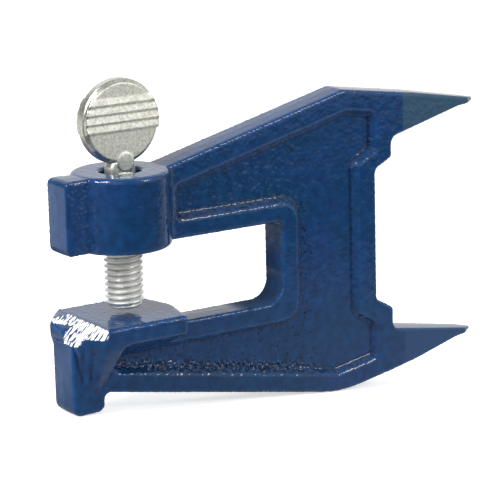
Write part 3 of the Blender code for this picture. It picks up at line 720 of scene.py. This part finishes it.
scratches = node(enamel, "ShaderNodeTexNoise", [("Vector", slant, "Vector")],
                 Scale=1.0, Detail=2.0, Distortion=0.5)
# the scrape is real wear; where the paint is off, the iron is shown near-white as a painted highlight
scraped_and_glinting = node(enamel, "ShaderNodeAttribute", attribute_name="scraped_and_glinting")
torn_and_glinting = node(enamel, "ShaderNodeMath", [(0, scratches, "Fac"), (1, scraped_and_glinting, "Fac")], operation="ADD")
bare_and_glinting = node(enamel, "ShaderNodeMapRange", [("Value", torn_and_glinting, "Value")], From_Min=1.45, From_Max=1.49)
enamel_colour = node(enamel, "ShaderNodeMix", [("Factor", bare_and_glinting, "Result"), (6, faded, 2)],
                     [(7, linear(SCRAPED_IRON_HIGHLIGHT))], data_type="RGBA")
dull = node(enamel, "ShaderNodeAttribute", attribute_name="dull")
gloss = node(enamel, "ShaderNodeMapRange", [("Value", bare_and_glinting, "Result")],
             To_Min=ENAMEL_ROUGHNESS, To_Max=SCRAPED_ROUGHNESS)
enamel_gloss = node(enamel, "ShaderNodeMath", [(0, gloss, "Result"), (1, dull, "Fac")], operation="ADD")
orange_peel = node(enamel, "ShaderNodeTexNoise", [("Vector", enamel_surface, "Object")],
                   Scale=1 / ORANGE_PEEL, Detail=2.0)
enamel_bump = node(enamel, "ShaderNodeBump", [("Height", orange_peel, "Fac")],
                   Strength=0.45, Distance=ORANGE_PEEL_HIGH)
paint = enamel.node_tree.nodes["Principled BSDF"]
paint.inputs["IOR"].default_value = ENAMEL_IOR
for start, end in ((enamel_colour.outputs[2], "Base Color"), (enamel_gloss.outputs[0], "Roughness"),
                   (enamel_bump.outputs["Normal"], "Normal")):
    enamel.node_tree.links.new(start, paint.inputs[end])
casting.data.materials.append(enamel)


# The thumb screw: one steel forging with a rolled 1/2 inch coarse thread, a round neck
# and a ribbed disc to turn it by, barrel-plated in dull zinc. It turns with the screw and
# stands for both CAD nodes of it.
SCREW_GRID = 0.00022
PITCH = 0.0254 / 13
CREST_RADIUS = 0.00625
THREAD_DEEP = 0.0012
CREST_FLAT_HALF = PITCH / 14
# distances from steep faces are scaled down, so that the surface stays smooth
THREAD_SCALE = 0.6
THREAD_TOP_SCALE = 0.7
RIB_SCALE = 0.8
SCREW_END_Z = 0.0021
LEAD_IN_Z = 0.0045
LEAD_IN_SLOPE = 0.62
THREAD_TOP_Z = 0.0425
NECK_RADIUS = 0.0049
NECK_FOOT_Z = 0.040
NECK_DOME_Z = 0.0468
NECK_DOME_STEEP = 1.4
NECK_FLAT_Z = 0.0450
NECK_PROUD = 0.0001
NECK_EDGE = 0.0008
STUD_X = 0.0006
STUD_Z = 0.0490
STUD_RADIUS = 0.0030
STUD_HIGH = 0.0004
DISC_RADIUS = 0.0136
DISC_HALF = 0.0028
DISC_Z = 0.0618
DISC_BEVEL = 0.0014
RIB_PITCH = 0.0028
RIB_HIGH = 0.0004
RIB_STEEP_SHARE = 0.22
RIBS_Z = DISC_Z + 0.0025
RIBS_HALF = 2 * RIB_PITCH
RIBS_INSET = 0.0004
SMALL_FILLET = 0.0004
NECK_FILLET = 0.0006

low, x, y, z = grid_around("thumb_screw", SCREW_GRID)
steps_below = math.ceil((low[2] - SCREW_END_Z) / SCREW_GRID) + 4
low[2] -= steps_below * SCREW_GRID
z = (low[2] + SCREW_GRID * np.arange(z.shape[2] + steps_below)).astype(np.float32)[None, None, :]
from_axis = np.hypot(x, y)

# the thread is a 60 degree groove that climbs one pitch in each turn
turn = np.arctan2(y, x) / (2 * np.pi)
from_crest = abs((z / PITCH - turn) % 1 - 0.5) * PITCH
groove = np.clip((from_crest - CREST_FLAT_HALF) * math.sqrt(3), 0, THREAD_DEEP)
lead_in = CREST_RADIUS - np.clip(LEAD_IN_Z - z, 0, None) * LEAD_IN_SLOPE
shank = np.maximum((from_axis - (CREST_RADIUS - groove)) * THREAD_SCALE, from_axis - lead_in)
shank = np.maximum(shank, SCREW_END_Z - z)
shank = np.maximum(shank, (z - THREAD_TOP_Z + from_axis - CREST_RADIUS) * THREAD_TOP_SCALE)

neck = np.hypot(from_axis, NECK_DOME_STEEP * np.clip(z - NECK_DOME_Z, 0, None)) - NECK_RADIUS
neck = np.maximum(neck, NECK_FOOT_Z - z)
neck_flat = abs(y) - DISC_HALF - NECK_PROUD - np.clip(NECK_FLAT_Z - z, 0, None)
neck = edge_of(neck, neck_flat, NECK_EDGE)

from_centre = np.hypot(x, z - DISC_Z)
disc_rim = from_centre - DISC_RADIUS
disc_face = abs(y) - DISC_HALF
disc = np.maximum(np.maximum(disc_rim, disc_face), (disc_rim + disc_face + DISC_BEVEL) * math.sqrt(0.5))
up_rib = (z - RIBS_Z) / RIB_PITCH % 1
wave = np.minimum(up_rib / RIB_STEEP_SHARE, (1 - up_rib) / (1 - RIB_STEEP_SHARE))
ribs = (abs(y) - DISC_HALF - RIB_HIGH * wave) * RIB_SCALE
ribs = np.maximum(ribs, abs(z - RIBS_Z) - RIBS_HALF)
ribs = np.maximum(ribs, from_centre - (DISC_RADIUS - RIBS_INSET))
stud = edge_of(np.hypot(x - STUD_X, z - STUD_Z) - STUD_RADIUS, abs(y) - DISC_HALF - STUD_HIGH, SMALL_FILLET)

head = join(join(np.minimum(disc, ribs), stud, SMALL_FILLET), neck, NECK_FILLET)
forging = join(head, shank, SMALL_FILLET).astype(np.float32)
screw = mesh_of("zinc_thumb_screw", *skin(forging, low, SCREW_GRID))
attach(screw, "screw")
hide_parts("thumb_screw", "screw_point")

# Dull zinc, plated in a barrel: a pale grey metal of roughness 0.28 with a soft sparkle,
# hazy (0.5, and a fifth less metal) on the disc's faces, where the passivation is thick,
# near-white and less metallic on the thread as painted light, and darker in its roots as
# painted shade. It keeps a metal's default IOR.
ZINC_DARK = "#c4c5b6"
ZINC_LIGHT = "#f2f2ea"
# painted light: near-white for the thread, so that it reads as brightly lit
THREAD_LIGHTENED_WHITE = "#fcfcf8"
# the real grains are 0.1 to 0.2 mm; they are drawn 0.9 mm coarse, so that they show
ZINC_GRAIN = 0.00090909
ZINC_GRAIN_HIGH = 0.0002
HAZY_SHARE_BELOW = 0.6
HAZE_TOP_Z = 0.0475
THREAD_METAL_CUT = 0.12
ROOT_SHADE_ROUNDS = 2

at_x, at_y, at_z = points_of(screw)
on_face = (abs(at_y) > DISC_HALF - 0.0003) * (np.hypot(at_x, at_z - DISC_Z) < DISC_RADIUS - 0.0012)
mark(screw, "hazy", np.where(at_z < HAZE_TOP_Z, HAZY_SHARE_BELOW, on_face))
mark(screw, "rolled", at_z < THREAD_TOP_Z)
# how hollow the thread is, which steers painted shade in its roots
mark(screw, "root", hollows(screw, ROOT_SHADE_ROUNDS) * (at_z < THREAD_TOP_Z))

zinc = bpy.data.materials.new("dull_zinc_plating")
zinc.use_nodes = True
zinc_surface = node(zinc, "ShaderNodeTexCoord")
zinc_grain = node(zinc, "ShaderNodeTexNoise", [("Vector", zinc_surface, "Object")],
                  Scale=1 / ZINC_GRAIN, Detail=4.0, Roughness=0.7)
zinc_tone = node(zinc, "ShaderNodeValToRGB", [("Fac", zinc_grain, "Fac")])
zinc_ramp = zinc_tone.color_ramp.elements
zinc_ramp[0].position, zinc_ramp[0].color = 0.35, linear(ZINC_DARK)
zinc_ramp[1].position, zinc_ramp[1].color = 0.65, linear(ZINC_LIGHT)
rolled = node(zinc, "ShaderNodeAttribute", attribute_name="rolled")
# painted light: the thread's colour is pushed to near-white
thread_lightened = node(zinc, "ShaderNodeMix", [("Factor", rolled, "Fac"), (6, zinc_tone, "Color")],
                 [(7, linear(THREAD_LIGHTENED_WHITE))], data_type="RGBA")
root = node(zinc, "ShaderNodeAttribute", attribute_name="root")
# painted shade: the thread darkens in its roots
root_shade = node(zinc, "ShaderNodeMapRange", [("Value", root, "Fac")],
             From_Min=0.05, From_Max=0.55, To_Min=1.0, To_Max=0.5)
zinc_colour = node(zinc, "ShaderNodeVectorMath", [(0, thread_lightened, 2), (1, root_shade, "Result")],
                   operation="MULTIPLY")
hazy = node(zinc, "ShaderNodeAttribute", attribute_name="hazy")
haze = node(zinc, "ShaderNodeMapRange", [("Value", hazy, "Fac")], To_Min=1.0, To_Max=0.8)
# painted light: less metal on the thread, so that its near-white colour shows
thread_less_metal = node(zinc, "ShaderNodeMath", [(0, rolled, "Fac")], [(1, THREAD_METAL_CUT)], operation="MULTIPLY")
zinc_metal = node(zinc, "ShaderNodeMath", [(0, haze, "Result"), (1, thread_less_metal, "Value")], operation="SUBTRACT")
zinc_gloss = node(zinc, "ShaderNodeMapRange", [("Value", hazy, "Fac")], To_Min=0.28, To_Max=0.5)
zinc_bump = node(zinc, "ShaderNodeBump", [("Height", zinc_grain, "Fac")],
                 Strength=0.5, Distance=ZINC_GRAIN_HIGH)
plating = zinc.node_tree.nodes["Principled BSDF"]
for start, end in ((zinc_colour.outputs["Vector"], "Base Color"), (zinc_metal.outputs[0], "Metallic"),
                   (zinc_gloss.outputs[0], "Roughness"), (zinc_bump.outputs["Normal"], "Normal")):
    zinc.node_tree.links.new(start, plating.inputs[end])
screw.data.materials.append(zinc)


# The floor: a sheet of matt white card that the vise lies on, resting on its heel and on
# the round bottom corner, so that it tilts against the vise's own level.
FLOOR_TILT = -0.1020
FLOOR_REACH = 3.0
FLOOR_GAP = 0.0004
REST_X = -0.0173

floor_mesh = bpy.data.meshes.new("floor")
floor_points = []
for end_x, end_y in ((-1, -1), (1, -1), (1, 1), (-1, 1)):
    lift = (end_x * FLOOR_REACH - REST_X) * FLOOR_TILT
    floor_points.append((end_x * FLOOR_REACH, end_y * FLOOR_REACH, HEEL_Z - FLOOR_GAP + lift))
floor_mesh.from_pydata(floor_points, [], [(0, 1, 2, 3)])
floor_sheet = bpy.data.objects.new("floor", floor_mesh)
scene.collection.objects.link(floor_sheet)

# White card: matt, roughness 0.9, with no shine of its own. The camera sees it white, with
# the vise's shadow. In the paint it shows a painted reflection, glowing as a table would
# look: white behind the vise, dim in front and brighter to the right, with a painted
# shadow behind the vise.
CARD_WHITE = "#e6e6e6"
CARD_ROUGHNESS = 0.9
CARD_GLOW = 0.62
# how bright the card is in the paint, from 0.8 m in front of the vise to 0.2 m behind it
MIRROR_RANGE_Y = (-0.8, 0.2)
MIRROR_STEPS = ((0.35, 0.06), (0.50, 0.06), (0.57, 0.14), (0.63, 0.28), (0.70, 0.34), (0.78, 0.44))
MIRROR_FIRST = (0.0, 0.3)
MIRROR_LAST = (0.83, 0.8)
SHADOW_PLACE = (-0.01, 0.13, -0.03)

card = bpy.data.materials.new("white_card")
card.use_nodes = True
matt = card.node_tree.nodes["Principled BSDF"]
matt.inputs["Base Color"].default_value = linear(CARD_WHITE)
matt.inputs["Roughness"].default_value = CARD_ROUGHNESS
matt.inputs["Specular IOR Level"].default_value = 0.0
card_ray = node(card, "ShaderNodeLightPath")
card_surface = node(card, "ShaderNodeTexCoord")
card_axes = node(card, "ShaderNodeSeparateXYZ", [("Vector", card_surface, "Object")])
away = node(card, "ShaderNodeMapRange", [("Value", card_axes, "Y")],
            From_Min=MIRROR_RANGE_Y[0], From_Max=MIRROR_RANGE_Y[1])
mirrored_card = node(card, "ShaderNodeValToRGB", [("Fac", away, "Result")])
mirror_ramp = mirrored_card.color_ramp.elements
for element, (at, level) in zip(mirror_ramp, (MIRROR_FIRST, MIRROR_LAST)):
    element.position, element.color = at, (level, level, level, 1)
for at, level in MIRROR_STEPS:
    mirror_ramp.new(at).color = (level, level, level, 1)
# painted shadow: a dark patch behind the vise, seen only in the paint
from_shadow = node(card, "ShaderNodeVectorMath", [(0, card_surface, "Object")], [(1, SHADOW_PLACE)],
                   operation="DISTANCE")
card_painted_shadow = node(card, "ShaderNodeMapRange", [("Value", from_shadow, "Value")], interpolation_type="SMOOTHSTEP",
              From_Min=0.04, From_Max=0.11, To_Min=0.15)
# painted reflection: in front of the vise the card is brighter to the right
to_right = node(card, "ShaderNodeMapRange", [("Value", card_axes, "X")], interpolation_type="SMOOTHSTEP",
                From_Min=-0.12, From_Max=0.20, To_Min=0.5, To_Max=1.4)
behind = node(card, "ShaderNodeMapRange", [("Value", card_axes, "Y")], interpolation_type="SMOOTHSTEP",
              From_Min=-0.01, From_Max=0.05)
by_side = node(card, "ShaderNodeMix", [(0, behind, "Result"), (2, to_right, "Result")], [(3, 1.0)])
card_level = node(card, "ShaderNodeMath", [(0, by_side, 0), (1, card_painted_shadow, "Result")], operation="MULTIPLY")
# painted reflection: the card glows in the paint, though it is no lamp
card_painted_reflection = node(card, "ShaderNodeEmission",
                [("Color", mirrored_card, "Color"), ("Strength", card_level, "Value")])
glow = node(card, "ShaderNodeEmission", Color=WHITE, Strength=CARD_GLOW)
card_lit = node(card, "ShaderNodeAddShader")
for_camera = node(card, "ShaderNodeMixShader", [("Fac", card_ray, "Is Camera Ray")])
for_gloss = node(card, "ShaderNodeMixShader", [("Fac", card_ray, "Is Glossy Ray")])
card_output = card.node_tree.nodes["Material Output"]
for start, end in ((matt.outputs[0], card_lit.inputs[0]), (glow.outputs[0], card_lit.inputs[1]),
                   (matt.outputs[0], for_camera.inputs[1]), (card_lit.outputs[0], for_camera.inputs[2]),
                   (for_camera.outputs[0], for_gloss.inputs[1]), (card_painted_reflection.outputs[0], for_gloss.inputs[2]),
                   (for_gloss.outputs[0], card_output.inputs["Surface"])):
    card.node_tree.links.new(start, end)
floor_mesh.materials.append(card)


# The studio: a white room, plainly lit. In the paint it is bright behind the vise and dim
# in front, but for two lights there with the dark gap between them where the
# photographer stands. Two small softboxes draw the thin lights along the edges.
ROOM_LIGHT = 0.67
# the front lights and the gap, from left to right: how far along, and how bright
FRONT_LIGHTS = ((0.27, 1.0), (0.68, 1.0))
FRONT_GAP = ((0.38, 0.3), (0.56, 0.3))
SOFTBOXES = {
    "long_softbox": {"place": (0.43, -0.66, 0.48), "aim": (0.04, 0, 0.01),
                     "size": (0.26, 0.22), "watts": 2.0},
    "left_softbox": {"place": (-0.65, -0.10, 0.75), "aim": (0.0, 0, 0.01),
                     "size": (0.4, 0.4), "watts": 11.0},
}

room = bpy.data.worlds.new("studio")
room.use_nodes = True
scene.world = room
room_ray = node(room, "ShaderNodeLightPath")
room_place = node(room, "ShaderNodeTexCoord")
room_axes = node(room, "ShaderNodeSeparateXYZ", [("Vector", room_place, "Generated")])
room_back = node(room, "ShaderNodeMapRange", [("Value", room_axes, "Y")], interpolation_type="SMOOTHSTEP",
                 From_Min=-0.1, From_Max=0.35, To_Min=0.40, To_Max=0.95)
room_right = node(room, "ShaderNodeMapRange", [("Value", room_axes, "X")], interpolation_type="SMOOTHSTEP",
                  From_Min=-0.4, From_Max=0.15, To_Min=0.25)
room_wall = node(room, "ShaderNodeMath", [(0, room_back, "Result"), (1, room_right, "Result")],
                 operation="MULTIPLY")
room_front = node(room, "ShaderNodeMapRange", [("Value", room_axes, "Y")], interpolation_type="SMOOTHSTEP",
                  From_Min=-0.3, From_Max=0.0, To_Min=0.8, To_Max=0.0)
left_to_right = node(room, "ShaderNodeMapRange", [("Value", room_axes, "X")], From_Min=-1.0, From_Max=1.0)
front_lights = node(room, "ShaderNodeValToRGB", [("Fac", left_to_right, "Result")])
front_ramp = front_lights.color_ramp.elements
for element, (at, level) in zip(front_ramp, FRONT_LIGHTS):
    element.position, element.color = at, (level, level, level, 1)
for at, level in FRONT_GAP:
    front_ramp.new(at).color = (level, level, level, 1)
front_wall = node(room, "ShaderNodeMath", [(0, room_front, "Result"), (1, front_lights, "Color")],
                  operation="MULTIPLY")
mirrored_room = node(room, "ShaderNodeMath", [(0, room_wall, "Value"), (1, front_wall, "Value")],
                     operation="MAXIMUM")
room_level = node(room, "ShaderNodeMix", [(0, room_ray, "Is Glossy Ray"), (3, mirrored_room, "Value")],
                  [(2, ROOM_LIGHT)])
seen_room = node(room, "ShaderNodeMath", [(0, room_level, 0), (1, room_ray, "Is Camera Ray")],
                 operation="MAXIMUM")
backdrop = room.node_tree.nodes["Background"]
backdrop.inputs["Color"].default_value = WHITE
room.node_tree.links.new(seen_room.outputs[0], backdrop.inputs["Strength"])

for name, box in SOFTBOXES.items():
    lamp = bpy.data.lights.new(name, "AREA")
    lamp.shape = "RECTANGLE"
    lamp.size, lamp.size_y = box["size"]
    lamp.energy = box["watts"]
    softbox = bpy.data.objects.new(name, lamp)
    softbox.location = box["place"]
    facing = Vector(box["aim"]) - Vector(box["place"])
    softbox.rotation_euler = facing.to_track_quat("-Z", "Y").to_euler()
    scene.collection.objects.link(softbox)

scene.view_settings.view_transform = "Standard"
